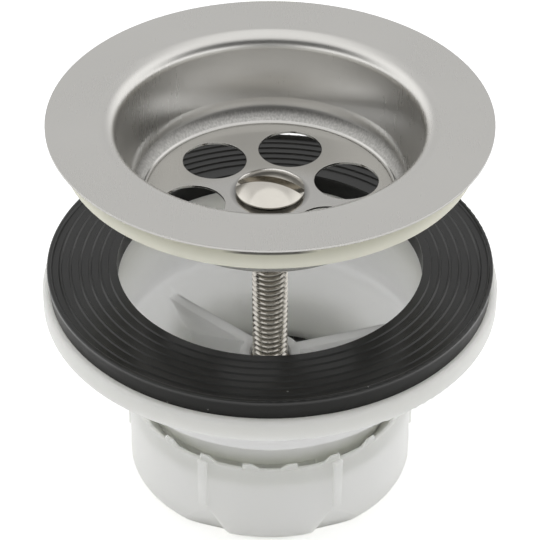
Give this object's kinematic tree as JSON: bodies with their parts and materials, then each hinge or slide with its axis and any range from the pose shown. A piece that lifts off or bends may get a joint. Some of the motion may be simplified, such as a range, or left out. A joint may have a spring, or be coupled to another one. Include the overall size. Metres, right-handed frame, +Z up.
{
  "type": "basin waste",
  "caption": "Basin waste: a pressed steel strainer cup with a flange seal, drawn by a central slotted screw on to a white moulded bowl with a ribbed gasket and a union nut for the outlet pipe.",
  "frame": {"origin": "on the axis at the underside of the union nut", "axes": "+Z up along the clamp screw, out of the strainer's mouth; -Y towards the viewer of the picture"},
  "size_m": [0.0742, 0.0742, 0.0679],
  "materials": {
    "stainless_sheet": "satin stainless sheet",
    "cream_seal": "soft cream rubber",
    "screw_steel": "bright stainless steel",
    "nylon": "natural nylon",
    "black_rubber": "moulded black rubber",
    "body_plastic": "satin white moulding",
    "brass": "turned brass",
    "nut_plastic": "satin white moulding",
    "outlet_rubber": "moulded black rubber"
  },
  "bodies": {
    "body": {"waste_body": "body_plastic", "body_gasket": "black_rubber", "screw_insert": "brass"},
    "strainer": {"strainer_cup": "stainless_sheet", "flange_seal": "cream_seal"},
    "screw": {"clamp_screw": "screw_steel", "retaining_ring": "nylon"},
    "outlet": {"outlet_seal": "outlet_rubber"},
    "nut": {"union_nut": "nut_plastic"}
  },
  "joints": [
    {"name": "strainer_travel", "type": "slide", "parent": "body", "child": "strainer", "axis": [0, 0, 1], "range_m": [-0.0211, 0.0025]},
    {"name": "screw_turn", "type": "hinge", "parent": "strainer", "child": "screw", "pos_m": [0, 0, 0.0534], "axis": [0, 0, 1], "range_deg": [-7600, 905]},
    {"name": "nut_travel", "type": "slide", "parent": "body", "child": "outlet", "axis": [0, 0, 1], "range_m": [-0.0075, 0]},
    {"name": "nut_turn", "type": "hinge", "parent": "outlet", "child": "nut", "pos_m": [0, 0, 0.0067], "axis": [0, 0, 1], "range_deg": [-1175, 5]}
  ],
  "couplings": [
    {"joint": "screw_turn", "follows": "strainer_travel", "rad_per_m": 6283.2},
    {"joint": "nut_turn", "follows": "nut_travel", "rad_per_m": 2721.2}
  ]
}
